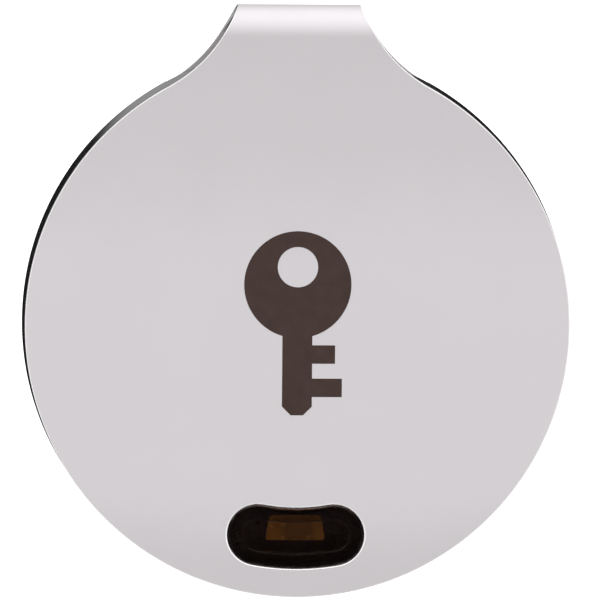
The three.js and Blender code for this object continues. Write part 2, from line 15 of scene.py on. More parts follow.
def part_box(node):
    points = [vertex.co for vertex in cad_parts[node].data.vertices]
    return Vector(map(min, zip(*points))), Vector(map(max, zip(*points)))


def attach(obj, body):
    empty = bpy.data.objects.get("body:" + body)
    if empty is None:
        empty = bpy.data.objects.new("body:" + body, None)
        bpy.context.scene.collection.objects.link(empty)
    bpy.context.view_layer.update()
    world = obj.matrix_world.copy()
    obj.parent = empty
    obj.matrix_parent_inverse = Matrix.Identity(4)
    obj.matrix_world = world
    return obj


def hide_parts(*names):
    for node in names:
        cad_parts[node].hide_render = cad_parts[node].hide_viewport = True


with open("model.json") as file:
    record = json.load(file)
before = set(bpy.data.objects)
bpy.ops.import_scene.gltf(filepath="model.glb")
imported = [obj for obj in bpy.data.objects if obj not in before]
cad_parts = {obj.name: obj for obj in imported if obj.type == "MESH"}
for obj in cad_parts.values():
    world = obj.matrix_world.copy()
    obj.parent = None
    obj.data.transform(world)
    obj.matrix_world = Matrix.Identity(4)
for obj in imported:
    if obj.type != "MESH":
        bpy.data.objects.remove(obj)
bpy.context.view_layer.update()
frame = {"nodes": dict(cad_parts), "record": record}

MM = 0.001


def box_mm(node):
    """Lowest and highest corner of a CAD node, in millimetres."""
    return [Vector(corner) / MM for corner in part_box(node)]


# ---------------------------------------------------------------------------------------------
# Sizes, read from the frame where it states them
# ---------------------------------------------------------------------------------------------

SHELL_LOW, SHELL_HIGH = box_mm("front_shell")
FRONT_Y = SHELL_LOW.y
THICKNESS = SHELL_HIGH.y - SHELL_LOW.y
DISC_RADIUS = (SHELL_HIGH.x - SHELL_LOW.x) / 2
HOUSING_LOW, HOUSING_HIGH = box_mm("rear_housing")
HOUSING_RADIUS = (HOUSING_HIGH.x - HOUSING_LOW.x) / 2
DISC_Z = SHELL_LOW.z + DISC_RADIUS
FOLD_RADIUS = THICKNESS / 2
GAP = 0.02
SHEET = box_mm("shell_adhesive")[0].y - FRONT_Y - GAP


def depths(node):
    """Front and back depth of a CAD node behind the tag's front face."""
    low, high = box_mm(node)
    return low.y - FRONT_Y, high.y - FRONT_Y


# The neck's side is an arc that leaves the disc tangentially. A tighter arc makes the waist.
NECK_ARC_RADIUS = 8.25
NECK_ARC_X = 11.4
WAIST_JOIN_V = 17.4
FOLD_V = -DISC_Z
APEX_V = FOLD_V + FOLD_RADIUS * math.pi / 2
NECK_ARC_V = math.sqrt((DISC_RADIUS + NECK_ARC_RADIUS) ** 2 - NECK_ARC_X ** 2)
TANGENT_ANGLE = math.atan2(NECK_ARC_V, NECK_ARC_X)
TAB_INNER_RADIUS = 13.35
TAB_CORNER = 0.6
TAB_RIM_CORNER = 0.35

# The button's slot, concentric with the disc at its foot
BUTTON_RADIUS = 12.13
BUTTON_HALF_WIDTH = 1.72
BUTTON_HALF_ANGLE = math.radians(10.26)
BUTTON_CLEARANCE = 0.06
DOWN = -math.pi / 2

# The bayonet: the flange in the housing and the lugs on the door's skirt, in degrees round the disc
LUG_ANGLES = (90, 210, 330)
DOOR_TWIST = 20
PAST = 1  # how far a cutter runs past the face it cuts

# ---------------------------------------------------------------------------------------------
# Outlines in the plane of the disc, as lists of (x, v)
# ---------------------------------------------------------------------------------------------


def polar(radius, angle, centre=(0.0, 0.0)):
    return (centre[0] + radius * math.cos(angle), centre[1] + radius * math.sin(angle))


def arc(radius, first, last, steps, centre=(0.0, 0.0)):
    """Points along an arc, both ends included."""
    return [polar(radius, first + (last - first) * i / steps, centre) for i in range(steps + 1)]


def circle(radius, steps=192, centre=(0.0, 0.0)):
    return arc(radius, 0, 2 * math.pi, steps, centre)[:-1]


def arc_slot(radius, half_width, half_angle, middle=DOWN, long_steps=32, end_steps=24):
    """A slot with round ends that follows an arc about the disc's centre."""
    first, last = middle - half_angle, middle + half_angle
    points = arc(radius + half_width, first, last, long_steps)
    points += arc(half_width, last, last + math.pi, end_steps, polar(radius, last))[1:-1]
    points += arc(radius - half_width, last, first, long_steps)
    points += arc(half_width, first + math.pi, first + 2 * math.pi, end_steps, polar(radius, first))[1:-1]
    return points


def button_slot(half_width):
    return arc_slot(BUTTON_RADIUS, half_width, BUTTON_HALF_ANGLE)


def sector(inner, outer, middle, half_angle, steps=16):
    """A piece of a ring about the disc's centre."""
    first, last = middle - half_angle, middle + half_angle
    return arc(outer, first, last, steps) + arc(inner, last, first, steps)


def neck_half_width(v):
    """Half the width of the unrolled sheet at a height above the disc's centre."""
    level = 2 * APEX_V - v if v > APEX_V else v
    if level <= WAIST_JOIN_V:
        return NECK_ARC_X - math.sqrt(NECK_ARC_RADIUS ** 2 - (NECK_ARC_V - level) ** 2)
    sine = (NECK_ARC_V - WAIST_JOIN_V) / NECK_ARC_RADIUS
    cosine = math.sqrt(1 - sine ** 2)
    waist_radius = (APEX_V - WAIST_JOIN_V) / sine
    waist_x = NECK_ARC_X - (NECK_ARC_RADIUS - waist_radius) * cosine
    return waist_x - math.sqrt(waist_radius ** 2 - (APEX_V - level) ** 2)


def quadratic(start, control, end, steps):
    """Points along a quadratic curve, without its start."""
    points = []
    for i in range(1, steps + 1):
        t = i / steps
        a, b, c = (1 - t) ** 2, 2 * t * (1 - t), t ** 2
        points.append(tuple(a * start[k] + b * control[k] + c * end[k] for k in range(2)))
    return points


def tab_end(grow=0.0, steps=10, inner_steps=40):
    """The right half of the tab's lower edge, from the shoulder to the middle."""
    inner = TAB_INNER_RADIUS - grow
    turn = TAB_CORNER / inner
    shoulder = polar(inner + TAB_CORNER, TANGENT_ANGLE)
    start = polar(inner, TANGENT_ANGLE + turn)
    points = [shoulder]
    points += quadratic(shoulder, polar(inner, TANGENT_ANGLE), start, steps)
    points += arc(inner, TANGENT_ANGLE + turn, math.pi / 2, inner_steps)[1:-1]
    return points


def mirrored(points):
    """The left side's points, in the order that carries on from the right side's."""
    return [(-x, v) for x, v in reversed(points)]


def sheet_outline(disc_steps=150, neck_steps=64):
    """The whole sheet unrolled: disc, neck, and the tab that ends up behind the housing."""
    corner = polar(DISC_RADIUS, TANGENT_ANGLE)
    tangent_v = corner[1]
    right = arc(DISC_RADIUS, DOWN, TANGENT_ANGLE, disc_steps)[1:]
    far_v = 2 * APEX_V - tangent_v
    step = (far_v - tangent_v) / neck_steps
    for i in range(1, neck_steps):
        v = tangent_v + step * i
        right.append((neck_half_width(v), v))
    last_x, last_v = right[-1]
    rim_end = polar(DISC_RADIUS - TAB_RIM_CORNER, TANGENT_ANGLE)
    rim_corner = quadratic((last_x, 2 * APEX_V - last_v), corner, rim_end, 8)
    right += [(x, 2 * APEX_V - v) for x, v in rim_corner + tab_end()]
    top = [(0.0, 2 * APEX_V - TAB_INNER_RADIUS)]
    bottom = [(0.0, -DISC_RADIUS)]
    return bottom + right + top + mirrored(right)


RECESS_GROW = 0.05
RECESS_PAST_RIM = 1.5


def tab_cutter_outline():
    """The tab's outline as it lies on the housing, grown a little, for the recess it sits in."""
    side = polar(DISC_RADIUS + RECESS_PAST_RIM, TANGENT_ANGLE)
    right = [(side[0], DISC_RADIUS + PAST), side]
    right += tab_end(RECESS_GROW)
    middle = [(0.0, TAB_INNER_RADIUS - RECESS_GROW)]
    return right + middle + mirrored(right)


# ---------------------------------------------------------------------------------------------
# Meshes
# ---------------------------------------------------------------------------------------------


def area(points):
    pairs = zip(points, points[1:] + points[:1])
    return sum(a[0] * b[1] - b[0] * a[1] for a, b in pairs) / 2


def outwards(points):
    """The direction away from the material at each corner of an outline."""
    count = len(points)
    ways = []
    for i in range(count):
        before, after = points[i - 1], points[(i + 1) % count]
        along = Vector((after[0] - before[0], after[1] - before[1])).normalized()
        ways.append(Vector((along.y, 0.0, -along.x)))
    return ways


def inset(points, ways, distance):
    """The outline moved into the material, against the ways out of it."""
    return [(x - way.x * distance, v - way.z * distance) for (x, v), way in zip(points, ways)]


def add_ring(bm, outline, depth):
    return [bm.verts.new((x, depth, v)) for x, v in outline]


def bridge(bm, one, other, slot=0):
    """Quads between two closed rings with the same number of corners."""
    count = len(one)
    for i in range(count):
        j = (i + 1) % count
        face = bm.faces.new((one[i], one[j], other[j], other[i]))
        face.material_index = slot


def edge_profile(front, back, rounding, back_rounding, steps):
    """(inset, depth, angle) from the front face, round both edges, to the back face."""
    profile = []
    for angle in (math.pi / 2 * i / steps for i in range(steps + 1)):
        fall = rounding * (1 - math.cos(angle))
        profile.append((rounding * (1 - math.sin(angle)), front + fall, angle))
    for angle in (math.pi / 2 * (1 + i / steps) for i in range(steps + 1)):
        rise = back_rounding * (1 + math.cos(angle))
        profile.append((back_rounding * (1 - math.sin(angle)), back - rise, angle))
    return profile


def plate_mesh(
    outlines, front, back, rounding, back_rounding=None, hole_rounding=None, steps=4, edge_slot=0
):
    """A flat plate with rounded edges. The first outline is its outside and the others are holes."""
    if back_rounding is None:
        back_rounding = rounding
    bm = bmesh.new()
    shading = bm.verts.layers.float_vector.new("shading")
    caps = [[], []]
    for number, outline in enumerate(outlines):
        wants = 1 if number == 0 else -1
        points = outline if area(outline) * wants > 0 else outline[::-1]
        ways = outwards(points)
        rings = []
        front_rounding = hole_rounding if number and hole_rounding else rounding
        for distance, depth, angle in edge_profile(front, back, front_rounding, back_rounding, steps):
            ring = add_ring(bm, inset(points, ways, distance), depth)
            for vert, way in zip(ring, ways):
                vert[shading] = way * math.sin(angle) - Vector((0, math.cos(angle), 0))
            rings.append(ring)
        for one, other in zip(rings, rings[1:]):
            bridge(bm, one, other, edge_slot)
        for cap, ring in zip(caps, (rings[0], rings[-1])):
            cap += [bm.edges.get((a, b)) for a, b in zip(ring, ring[1:] + ring[:1])]
    for cap in caps:
        bmesh.ops.triangle_fill(bm, use_beauty=True, use_dissolve=False, edges=cap)
    return bm


def filleted(corners, steps=5):
    """A profile with its corners rounded, from (radius, depth, rounding) triples in a closed row."""
    points = []
    count = len(corners)
    for i, (r, d, rounding) in enumerate(corners):
        here = Vector((r, d))
        if not rounding:
            points.append((r, d))
            continue
        before = (Vector(corners[i - 1][:2]) - here).normalized()
        after = (Vector(corners[(i + 1) % count][:2]) - here).normalized()
        half = before.angle(after) / 2
        reach = rounding / math.tan(half)
        centre = here + (before + after).normalized() * (rounding / math.sin(half))
        start = here + before * reach - centre
        end = here + after * reach - centre
        sweep = start.angle_signed(end)
        for k in range(steps + 1):
            turned = start.copy()
            turned.rotate(Matrix.Rotation(-sweep * k / steps, 2))
            points.append(tuple(centre + turned))
    return points


def lathe_mesh(profile, closed=True, steps=320):
    """A turned piece from (radius, depth) pairs. An open profile is capped flat at both ends."""
    bm = bmesh.new()
    rings = [add_ring(bm, circle(r, steps), depth) for r, depth in profile]
    pairs = list(zip(rings, rings[1:]))
    if closed:
        pairs.append((rings[-1], rings[0]))
    for one, other in pairs:
        bridge(bm, one, other)
    if not closed:
        bm.faces.new(rings[0])
        bm.faces.new(rings[-1])
    return bm


def loft_mesh(rings):
    """A closed piece from rings of (x, depth, v) with the same number of points, capped flat."""
    bm = bmesh.new()
    made = [[bm.verts.new(point) for point in ring] for ring in rings]
    for one, other in zip(made, made[1:]):
        bridge(bm, one, other)
    for ring in (made[0], made[-1]):
        edges = [bm.edges.get((a, b)) for a, b in zip(ring, ring[1:] + ring[:1])]
        bmesh.ops.triangle_fill(bm, use_beauty=True, use_dissolve=False, edges=edges)
    return bm


def settle(bm):
    """From (x, depth, v) in millimetres to metres in the row frame."""
    for vert in bm.verts:
        x, depth, v = vert.co
        vert.co = Vector((x, FRONT_Y + depth, DISC_Z + v)) * MM
    bmesh.ops.recalc_face_normals(bm, faces=bm.faces)


def make(name, bm, *materials):
    """An object from a mesh in millimetres, shaded by the mesh's own normals where it has them."""
    settle(bm)
    shading = bm.verts.layers.float_vector.get("shading")
    normals = [vert[shading].normalized() for vert in bm.verts] if shading else None
    if shading:
        bm.verts.layers.float_vector.remove(shading)
    mesh = bpy.data.meshes.new(name)
    bm.to_mesh(mesh)
    bm.free()
    for face in mesh.polygons:
        face.use_smooth = True
    if normals:
        mesh.normals_split_custom_set_from_vertices(normals)
    for look in materials:
        mesh.materials.append(look)
    obj = bpy.data.objects.new(name, mesh)
    bpy.context.scene.collection.objects.link(obj)
    return obj


def boolean(obj, bm, operation):
    """Cut a mesh out of an object, or join it on."""
    tool = make("tool", bm)
    modifier = obj.modifiers.new("cut", "BOOLEAN")
    modifier.operation = operation
    modifier.solver = "EXACT"
    modifier.object = tool
    graph = bpy.context.evaluated_depsgraph_get()
    mesh = bpy.data.meshes.new_from_object(obj.evaluated_get(graph))
    obj.modifiers.clear()
    old = obj.data
    obj.data = mesh
    bpy.data.meshes.remove(old)
    used = tool.data
    bpy.data.objects.remove(tool)
    bpy.data.meshes.remove(used)
    for face in mesh.polygons:
        face.use_smooth = True


def even_shading(obj, angle=35):
    """Normals that follow the large faces, with sharp edges kept where faces meet at an angle."""
    mesh = obj.data
    bm = bmesh.new()
    bm.from_mesh(mesh)
    limit = math.radians(angle)
    for edge in bm.edges:
        edge.smooth = not (edge.is_manifold and edge.calc_face_angle(0) > limit)
    bm.to_mesh(mesh)
    bm.free()
    modifier = obj.modifiers.new("even_normals", "WEIGHTED_NORMAL")
    modifier.keep_sharp = True
    modifier.weight = 100


def show(obj, body, slot, *nodes):
    """Say what a piece rides on and which CAD nodes it stands for, and hide those nodes. The slot argument
    is not used.
    """
    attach(obj, body)
    if nodes:
        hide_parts(*nodes)


# ---------------------------------------------------------------------------------------------
# Materials
# ---------------------------------------------------------------------------------------------


class Look:
    """A material made of nodes, with its texture coordinates in millimetres."""

    def __init__(self, name, **sockets):
        self.material = bpy.data.materials.new(name)
        self.material.use_nodes = True
        self.tree = self.material.node_tree
        self.shader = self.tree.nodes["Principled BSDF"]
        for socket, value in sockets.items():
            self.shader.inputs[socket.replace("_", " ")].default_value = value
        place = self.add("ShaderNodeTexCoord").outputs["Object"]
        scale = self.add("ShaderNodeVectorMath", operation="SCALE")
        scale.inputs["Scale"].default_value = 1 / MM
        self.link(place, scale.inputs[0])
        self.place = scale.outputs[0]

    def add(self, kind, **settings):
        node = self.tree.nodes.new(kind)
        for key, value in settings.items():
            setattr(node, key, value)
        return node

    def link(self, source, target):
        self.tree.links.new(source, target)

    def noise(self, scale, detail=2.0, roughness=0.5):
        """Noise with this many cells to the millimetre."""
        node = self.add("ShaderNodeTexNoise")
        node.inputs["Scale"].default_value = scale
        node.inputs["Detail"].default_value = detail
        node.inputs["Roughness"].default_value = roughness
        self.link(self.place, node.inputs["Vector"])
        return node.outputs["Fac"]

    def between(self, source, low, high, start=0.3, end=0.7):
        """The source's range from start to end, spread from low to high."""
        node = self.add("ShaderNodeMapRange")
        node.inputs["From Min"].default_value = start
        node.inputs["From Max"].default_value = end
        node.inputs["To Min"].default_value = low
        node.inputs["To Max"].default_value = high
        self.link(source, node.inputs["Value"])
        return node.outputs["Result"]

    def along(self, axis, stops):
        """A grey tint along an axis, from (millimetres, brightness) stops with the lowest first."""
        parts = self.add("ShaderNodeSeparateXYZ")
        self.link(self.place, parts.inputs[0])
        low, high = stops[0][0], stops[-1][0]
        ramp = self.add("ShaderNodeValToRGB")
        ramp.color_ramp.interpolation = "EASE"
        elements = ramp.color_ramp.elements
        for level, _ in stops[1:-1]:
            elements.new((level - low) / (high - low))
        for element, (_, brightness) in zip(elements, stops):
            element.color = (brightness, brightness, brightness, 1)
        self.link(self.between(parts.outputs[axis], 0.0, 1.0, low, high), ramp.inputs["Fac"])
        return ramp.outputs["Color"]

    def tinted(self, colour, tint):
        """The colour times the tint, on the shader."""
        node = self.add("ShaderNodeMix", data_type="RGBA", blend_type="MULTIPLY")
        node.inputs["Factor"].default_value = 1.0
        self.link(colour, node.inputs["A"])
        self.link(tint, node.inputs["B"])
        self.link(node.outputs["Result"], self.shader.inputs["Base Color"])

    def blend(self, source, first, second):
        """A colour between two, by the source."""
        node = self.add("ShaderNodeMix", data_type="RGBA")
        node.inputs["A"].default_value = (*first, 1)
        node.inputs["B"].default_value = (*second, 1)
        self.link(source, node.inputs["Factor"])
        return node.outputs["Result"]

    def bump(self, source, height, strength=1.0):
        """Raise the surface by the source times a height in millimetres."""
        node = self.add("ShaderNodeBump")
        node.inputs["Distance"].default_value = height * MM
        node.inputs["Strength"].default_value = strength
        self.link(source, node.inputs["Height"])
        self.link(node.outputs["Normal"], self.shader.inputs["Normal"])

    def roughness(self, source, low, high):
        self.link(self.between(source, low, high), self.shader.inputs["Roughness"])

    def colour(self, source, first, second):
        blended = self.blend(self.between(source, 0, 1), first, second)
        self.link(blended, self.shader.inputs["Base Color"])


# Painted shade: the sheet's colour is darkened towards the foot and on the neck, and evens out again over
# the fold.
# Each stop is a height in millimetres and a share of the full brightness.
PLATE_PAINTED_SHADE_STOPS = (
    (DISC_Z - 14.5, 0.90),
    (DISC_Z - 9, 1.0),
    (DISC_Z + 3, 1.0),
    (DISC_Z + 12, 0.925),
    (DISC_Z + 16.3, 0.90),
    (0.9, 1.0),
)
# The dome lies under the middle of the film; painted shade darkens the film's colour along x there.
FILM_PAINTED_SHADE_STOPS = ((-1.1, 1.0), (-0.4, 0.66), (0.7, 0.66), (1.3, 0.97))


def blasted_aluminium():
    """Fine bead-blasted sheet, clear anodised: even satin grey with a slight warm tint, darkened by painted
    shade towards the foot and on the neck.
    """
    look = Look("blasted_aluminium", Metallic=1.0)
    look.roughness(look.noise(1.3, 3), 0.53, 0.56)
    clouds = look.between(look.noise(0.22, 2), 0, 1)
    tone = look.blend(clouds, (0.652, 0.626, 0.644), (0.664, 0.638, 0.656))
    # Painted shade: the colour is darkened by height towards the foot and on the neck.
    look.tinted(tone, look.along("Z", PLATE_PAINTED_SHADE_STOPS))
    look.bump(look.noise(13, 2, 0.6), 0.0016)
    return look.material


def cut_aluminium():
    """The sheet's trimmed edge, polished by the cut."""
    look = Look("cut_aluminium", Metallic=1.0)
    look.roughness(look.noise(4, 2), 0.24, 0.32)
    look.colour(look.noise(1.5, 2), (0.80, 0.78, 0.79), (0.86, 0.84, 0.85))
    look.bump(look.noise(16, 2), 0.0012)
    return look.material


def black_gloss():
    """Polished moulded black plastic with a faint flow ripple and handling haze."""
    look = Look("black_gloss", IOR=1.5)
    look.roughness(look.noise(0.8, 4, 0.6), 0.05, 0.09)
    look.colour(look.noise(0.5, 2), (0.0045, 0.0045, 0.005), (0.0075, 0.0075, 0.0085))
    look.bump(look.noise(0.7, 1), 0.002)
    return look.material


def black_textured():
    """Moulded black plastic from a spark-eroded tool: a fine even grain."""
    look = Look("black_textured", IOR=1.5)
    look.roughness(look.noise(1.1, 3), 0.39, 0.43)
    look.colour(look.noise(0.6, 2), (0.0095, 0.0095, 0.0105), (0.011, 0.011, 0.012))
    look.bump(look.noise(8, 3, 0.7), 0.012)
    return look.material


def smoked_plastic():
    """Dark smoke-tinted clear plastic, polished."""
    tint = (0.065, 0.045, 0.055, 1)
    look = Look("smoked_plastic", IOR=1.5, Transmission_Weight=1.0, Specular_Tint=tint)
    look.roughness(look.noise(1.2, 2), 0.03, 0.06)
    look.colour(look.noise(0.5, 1), (0.275, 0.205, 0.18), (0.29, 0.218, 0.19))
    look.bump(look.noise(1.1, 1), 0.0006)
    return look.material


def amber_film():
    """Amber polyimide film, with painted shade darkening its middle over the dome."""
    look = Look("amber_film", IOR=1.6, Metallic=0.35)
    look.roughness(look.noise(2.0, 2), 0.18, 0.30)
    clouds = look.between(look.noise(0.9, 2), 0, 1)
    tone = look.blend(clouds, (0.47, 0.30, 0.045), (0.63, 0.41, 0.075))
    # Painted shade: the colour is darkened along x in the film's middle.
    look.tinted(tone, look.along("X", FILM_PAINTED_SHADE_STOPS))
    look.bump(look.noise(1.8, 2), 0.004)
    return look.material


def printed_ink():
    """Dark brown pad-printed ink, dense and nearly matt."""
    look = Look("printed_ink", IOR=1.45, Specular_IOR_Level=0.3)
    look.roughness(look.noise(3, 2), 0.42, 0.55)
    look.colour(look.noise(1.4, 3), (0.029, 0.014, 0.011), (0.037, 0.019, 0.015))
    look.bump(look.noise(14, 2), 0.002)
    return look.material


def plain_plastic(name, first, second, low=0.45, high=0.6, grain=6.0, height=0.004):
    """A matt moulded or pressed material with a fine grain."""
    look = Look(name, IOR=1.47)
    look.roughness(look.noise(1.5, 2), low, high)
    look.colour(look.noise(1.0, 3), first, second)
    look.bump(look.noise(grain, 2), height)
    return look.material


def brushed_metal(name, first, second, low=0.22, high=0.36):
    """Rolled or plated strip: fine streaks along x with the sheet's soft unevenness."""
    look = Look(name, Metallic=1.0)
    stretch = look.add("ShaderNodeMapping")
    stretch.inputs["Scale"].default_value = (0.6, 9.0, 9.0)
    look.link(look.place, stretch.inputs["Vector"])
    streaks = look.add("ShaderNodeTexNoise")
    streaks.inputs["Scale"].default_value = 3.0
    streaks.inputs["Detail"].default_value = 3.0
    look.link(stretch.outputs["Vector"], streaks.inputs["Vector"])
    look.roughness(streaks.outputs["Fac"], low, high)
    look.colour(look.noise(0.7, 3), first, second)
    look.bump(streaks.outputs["Fac"], 0.0012)
    return look.material


def solder_mask():
    """Black solder mask over copper: tracks show as slightly raised, slightly lighter lines."""
    look = Look("solder_mask", IOR=1.5)
    tracks = look.add("ShaderNodeTexVoronoi", feature="DISTANCE_TO_EDGE", distance="MANHATTAN")
    tracks.inputs["Scale"].default_value = 1.5
    look.link(look.place, tracks.inputs["Vector"])
    line = look.between(tracks.outputs["Distance"], 1.0, 0.0, 0.05, 0.08)
    green_black = look.blend(line, (0.007, 0.010, 0.009), (0.011, 0.018, 0.014))
    look.link(green_black, look.shader.inputs["Base Color"])
    look.roughness(look.noise(1.5, 2), 0.25, 0.38)
    look.bump(line, 0.012)
    return look.material


ALUMINIUM = blasted_aluminium()
CUT_EDGE = cut_aluminium()
GLOSS = black_gloss()
TEXTURED = black_textured()
SMOKE = smoked_plastic()
AMBER = amber_film()
INK = printed_ink()
MATTE = plain_plastic("black_matte", (0.010, 0.010, 0.011), (0.016, 0.016, 0.017))
ADHESIVE = plain_plastic("adhesive_film", (0.020, 0.020, 0.022), (0.032, 0.032, 0.034), 0.7, 0.85)
FOAM = plain_plastic("thin_foam", (0.030, 0.030, 0.032), (0.055, 0.055, 0.058), 0.8, 0.95, 5, 0.03)
SILICONE = plain_plastic("silicone", (0.13, 0.14, 0.15), (0.17, 0.18, 0.19), 0.35, 0.5)
GASKET = plain_plastic("gasket", (0.20, 0.20, 0.19), (0.25, 0.25, 0.24), 0.4, 0.5)
CATHODE = plain_plastic("pressed_powder", (0.012, 0.013, 0.014), (0.022, 0.023, 0.024), 0.8, 0.95, 12, 0.01)
EPOXY = plain_plastic("black_epoxy", (0.013, 0.013, 0.014), (0.02, 0.02, 0.021), 0.4, 0.55, 14, 0.004)
CERAMIC = plain_plastic("white_ceramic", (0.72, 0.68, 0.62), (0.80, 0.77, 0.71), 0.35, 0.5, 9, 0.002)
TAN = plain_plastic("tan_ceramic", (0.36, 0.23, 0.12), (0.44, 0.29, 0.15), 0.4, 0.55, 10, 0.003)
FERRITE = plain_plastic("ferrite", (0.025, 0.025, 0.028), (0.04, 0.04, 0.043), 0.5, 0.7, 10, 0.006)
MASK = solder_mask()
NICKEL = brushed_metal("nickel_plate", (0.52, 0.50, 0.46), (0.62, 0.60, 0.56))
GOLD = brushed_metal("gold_flash", (0.62, 0.43, 0.13), (0.72, 0.52, 0.18))
BRASS = brushed_metal("rolled_brass", (0.52, 0.34, 0.09), (0.64, 0.43, 0.13))
LITHIUM = brushed_metal("dull_lithium", (0.28, 0.29, 0.30), (0.38, 0.39, 0.40), 0.4, 0.6)

SLOT_LOOKS = {
    "aluminium": ALUMINIUM,
    "gloss_black": GLOSS,
    "gloss_black_door": TEXTURED,
    "matte_black": MATTE,
    "smoke": SMOKE,
    "adhesive": ADHESIVE,
    "foam": FOAM,
    "silicone": SILICONE,
    "gasket": GASKET,
    "nickel": NICKEL,
    "lithium": LITHIUM,
    "cathode": CATHODE,
    "brass": BRASS,
    "gold": GOLD,
    "ceramic": CERAMIC,
    "capacitor": TAN,
    "ferrite": FERRITE,
    "amber_film": AMBER,
    "board": MASK,
    "chip_black": EPOXY,
    "crystal_lid": NICKEL,
}

# ---------------------------------------------------------------------------------------------
# CAD nodes that stay: each takes its slot's material and softened edges
# ---------------------------------------------------------------------------------------------

SOFT_EDGE = 0.03
SOFT_EDGE_SHARE = 0.12
SOFT_EDGE_ANGLE = math.radians(50)


def soften(node, name):
    """A small round on the node's edges, never more than a share of its thinnest side."""
    low, high = box_mm(name)
    modifier = node.modifiers.new("soft_edges", "BEVEL")
    modifier.width = min(SOFT_EDGE, SOFT_EDGE_SHARE * min(high - low)) * MM
    modifier.segments = 2
    modifier.limit_method = "ANGLE"
    modifier.angle_limit = SOFT_EDGE_ANGLE
    modifier.harden_normals = True


for part in frame["record"]["subparts"]:
    node = frame["nodes"][part["node"]]
    node.data.materials.clear()
    node.data.materials.append(SLOT_LOOKS[part["material_slot"]])
    soften(node, part["node"])

# ---------------------------------------------------------------------------------------------
# Front shell
# ---------------------------------------------------------------------------------------------

EDGE_ROUND = 0.06
SLOT_ROUND = 0.11
INNER_EDGE_ROUND = 0.012


def folded(bm, steps=44):
    """Cut the unrolled sheet across its fold and roll it over the top."""
    fold_end = 2 * APEX_V - FOLD_V
    for i in range(steps + 1):
        level = FOLD_V + (fold_end - FOLD_V) * i / steps
        everything = bm.verts[:] + bm.edges[:] + bm.faces[:]
        bmesh.ops.bisect_plane(
            bm, geom=everything, dist=1e-6, plane_co=(0, 0, level), plane_no=(0, 0, 1)
        )
    shading = bm.verts.layers.float_vector["shading"]
    for vert in bm.verts:
        x, depth, v = vert.co
        turn = min(max((v - FOLD_V) / FOLD_RADIUS, 0), math.pi)
        reach = FOLD_RADIUS - depth
        if v > fold_end:
            vert.co = (x, THICKNESS - depth, 2 * APEX_V - v)
        elif v > FOLD_V:
            vert.co = (x, FOLD_RADIUS - reach * math.cos(turn), FOLD_V + reach * math.sin(turn))
        vert[shading] = Matrix.Rotation(-turn, 3, "X") @ vert[shading]


def front_shell():
    outlines = [sheet_outline(), button_slot(BUTTON_HALF_WIDTH)]
    bm = plate_mesh(outlines, 0, SHEET, EDGE_ROUND, INNER_EDGE_ROUND, SLOT_ROUND, edge_slot=1)
    folded(bm)
    shell = make("folded_shell", bm, ALUMINIUM, CUT_EDGE)
    show(shell, "tag", "aluminium", "front_shell")


front_shell()

# ---------------------------------------------------------------------------------------------
# Generic mark: a door key, printed on the plate
# ---------------------------------------------------------------------------------------------

INK_THICKNESS = 0.012
INK_SUNK = 0.004
INK_EDGE = 0.003
KEY_BOW_RADIUS = 3.05
KEY_BOW_V = 2.35
KEY_HOLE_RADIUS = 1.15
KEY_HOLE_V = 3.35
KEY_SHANK = 0.85
KEY_TIP_V = -5.1
KEY_CHAMFER = 0.5
KEY_BIT_HEIGHT = 1.05
KEY_BITS = ((-4.05, 2.55), (-2.15, 2.15))  # lower edge and reach of each bit


def key_outline():
    """A key standing on its tip: a round bow, a shank and two square bits."""
    reach = math.acos(KEY_SHANK / KEY_BOW_RADIUS)
    outline = arc(KEY_BOW_RADIUS, -reach, math.pi + reach, 72, (0.0, KEY_BOW_V))
    outline += [
        (-KEY_SHANK, KEY_TIP_V + KEY_CHAMFER),
        (-KEY_SHANK + KEY_CHAMFER, KEY_TIP_V),
        (KEY_SHANK - KEY_CHAMFER, KEY_TIP_V),
        (KEY_SHANK, KEY_TIP_V + KEY_CHAMFER),
    ]
    for low, out in KEY_BITS:
        high = low + KEY_BIT_HEIGHT
        outline += [(KEY_SHANK, low), (out, low), (out, high), (KEY_SHANK, high)]
    return outline


def key_mark():
    hole = circle(KEY_HOLE_RADIUS, 48, (0.0, KEY_HOLE_V))
    bm = plate_mesh([key_outline(), hole], -INK_THICKNESS, INK_SUNK, INK_EDGE, steps=1)
    mark = make("key_mark", bm, INK)
    show(mark, "tag", "printed_mark")


key_mark()

# ---------------------------------------------------------------------------------------------
# Button cap and the film seen through it
# ---------------------------------------------------------------------------------------------

CAP_RIM = 0.12
CAP_RIM_STEPS = 8
CAP_FLANGE = 0.3
CAP_FLANGE_THICKNESS = 0.12
# Half-widths and depths across the land, the crease round the dish and the dish itself
CAP_DISH = (
    (0.97, 0.0), (0.955, 0.006), (0.94, 0.03), (0.92, 0.085), (0.90, 0.14), (0.88, 0.195), (0.872, 0.205),
    (0.862, 0.195), (0.842, 0.145), (0.825, 0.115), (0.79, 0.10), (0.72, 0.095), (0.64, 0.095), (0.5, 0.1),
    (0.34, 0.105), (0.18, 0.109), (0.03, 0.11),
)


def button_cap():
    """A smoky cap: rounded rim, flat land, a creased step and a shallow dish."""
    front, back = depths("button_cap")
    fit = BUTTON_HALF_WIDTH - BUTTON_CLEARANCE
    flange_front = back - CAP_FLANGE_THICKNESS
    profile = [(fit + CAP_FLANGE, back), (fit + CAP_FLANGE, flange_front), (fit, flange_front)]
    for i in range(CAP_RIM_STEPS + 1):
        angle = math.pi / 2 * i / CAP_RIM_STEPS
        half_width = fit - CAP_RIM * (1 - math.cos(angle))
        profile.append((half_width, front + CAP_RIM * (1 - math.sin(angle))))
    profile += [(half_width, front + depth) for half_width, depth in CAP_DISH]
    rings = []
    for half_width, depth in profile:
        rings.append([(x, depth, v) for x, v in button_slot(half_width)])
    cap = make("smoked_button", loft_mesh(rings), SMOKE)
    even_shading(cap)
    show(cap, "button", "smoke", "button_cap")


button_cap()

